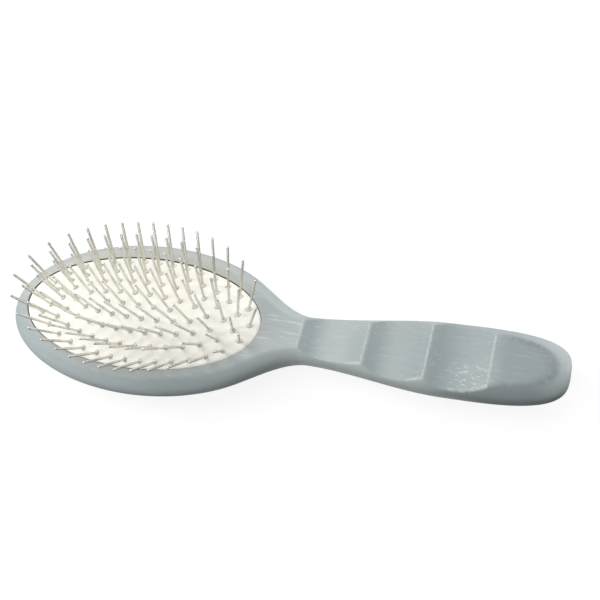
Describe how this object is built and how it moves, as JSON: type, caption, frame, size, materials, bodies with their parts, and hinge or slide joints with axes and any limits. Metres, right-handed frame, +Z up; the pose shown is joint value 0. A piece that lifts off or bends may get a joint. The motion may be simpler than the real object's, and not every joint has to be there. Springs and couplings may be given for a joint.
{
  "type": "pet grooming brush",
  "caption": "Oval grooming brush with a one-piece wooden body, finger scoops along the handle, and rings of metal pins in an air-backed rubber cushion.",
  "frame": {"origin": "on the table under the middle of the brush, which lies on its back", "axes": "+X from the toe of the head to the butt of the handle, +Z up, the way the pins point, +Y to the left seen from the toe"},
  "size_m": [0.2264, 0.065, 0.0444],
  "materials": {
    "stained_wood": "matte grey-green stain with the grain showing",
    "cream_rubber": "matte moulded",
    "pin_steel": "satin"
  },
  "bodies": {
    "handle": {"brush_body": "stained_wood", "cushion_pad": "cream_rubber"},
    "pin_centre_row": {"pins_centre_row": "pin_steel"},
    "pin_ring_4": {"pins_ring_4_1": "pin_steel", "pins_ring_4_2": "pin_steel", "pins_ring_4_3": "pin_steel", "pins_ring_4_4": "pin_steel", "pins_ring_4_5": "pin_steel", "pins_ring_4_6": "pin_steel"},
    "pin_ring_3": {"pins_ring_3_1": "pin_steel", "pins_ring_3_2": "pin_steel", "pins_ring_3_3": "pin_steel", "pins_ring_3_4": "pin_steel", "pins_ring_3_5": "pin_steel", "pins_ring_3_6": "pin_steel"},
    "pin_ring_2": {"pins_ring_2_1": "pin_steel", "pins_ring_2_2": "pin_steel", "pins_ring_2_3": "pin_steel", "pins_ring_2_4": "pin_steel", "pins_ring_2_5": "pin_steel", "pins_ring_2_6": "pin_steel", "pins_ring_2_7": "pin_steel", "pins_ring_2_8": "pin_steel"},
    "pin_ring_1": {"pins_ring_1_1": "pin_steel", "pins_ring_1_2": "pin_steel", "pins_ring_1_3": "pin_steel", "pins_ring_1_4": "pin_steel", "pins_ring_1_5": "pin_steel", "pins_ring_1_6": "pin_steel", "pins_ring_1_7": "pin_steel", "pins_ring_1_8": "pin_steel"}
  },
  "joints": [
    {"name": "centre_row_press", "type": "slide", "parent": "handle", "child": "pin_centre_row", "axis": [0, 0, 1], "range_m": [-0.004, 0], "stiffness_N_per_m": 1500, "deforming": ["cushion_pad"]},
    {"name": "ring_4_press", "type": "slide", "parent": "handle", "child": "pin_ring_4", "axis": [0, 0, 1], "range_m": [-0.0036, 0]},
    {"name": "ring_3_press", "type": "slide", "parent": "handle", "child": "pin_ring_3", "axis": [0, 0, 1], "range_m": [-0.0029, 0]},
    {"name": "ring_2_press", "type": "slide", "parent": "handle", "child": "pin_ring_2", "axis": [0, 0, 1], "range_m": [-0.002, 0]},
    {"name": "ring_1_press", "type": "slide", "parent": "handle", "child": "pin_ring_1", "axis": [0, 0, 1], "range_m": [-0.0009, 0]}
  ],
  "couplings": [
    {"joint": "ring_4_press", "follows": "centre_row_press", "ratio": 0.888},
    {"joint": "ring_3_press", "follows": "centre_row_press", "ratio": 0.722},
    {"joint": "ring_2_press", "follows": "centre_row_press", "ratio": 0.495},
    {"joint": "ring_1_press", "follows": "centre_row_press", "ratio": 0.213}
  ]
}
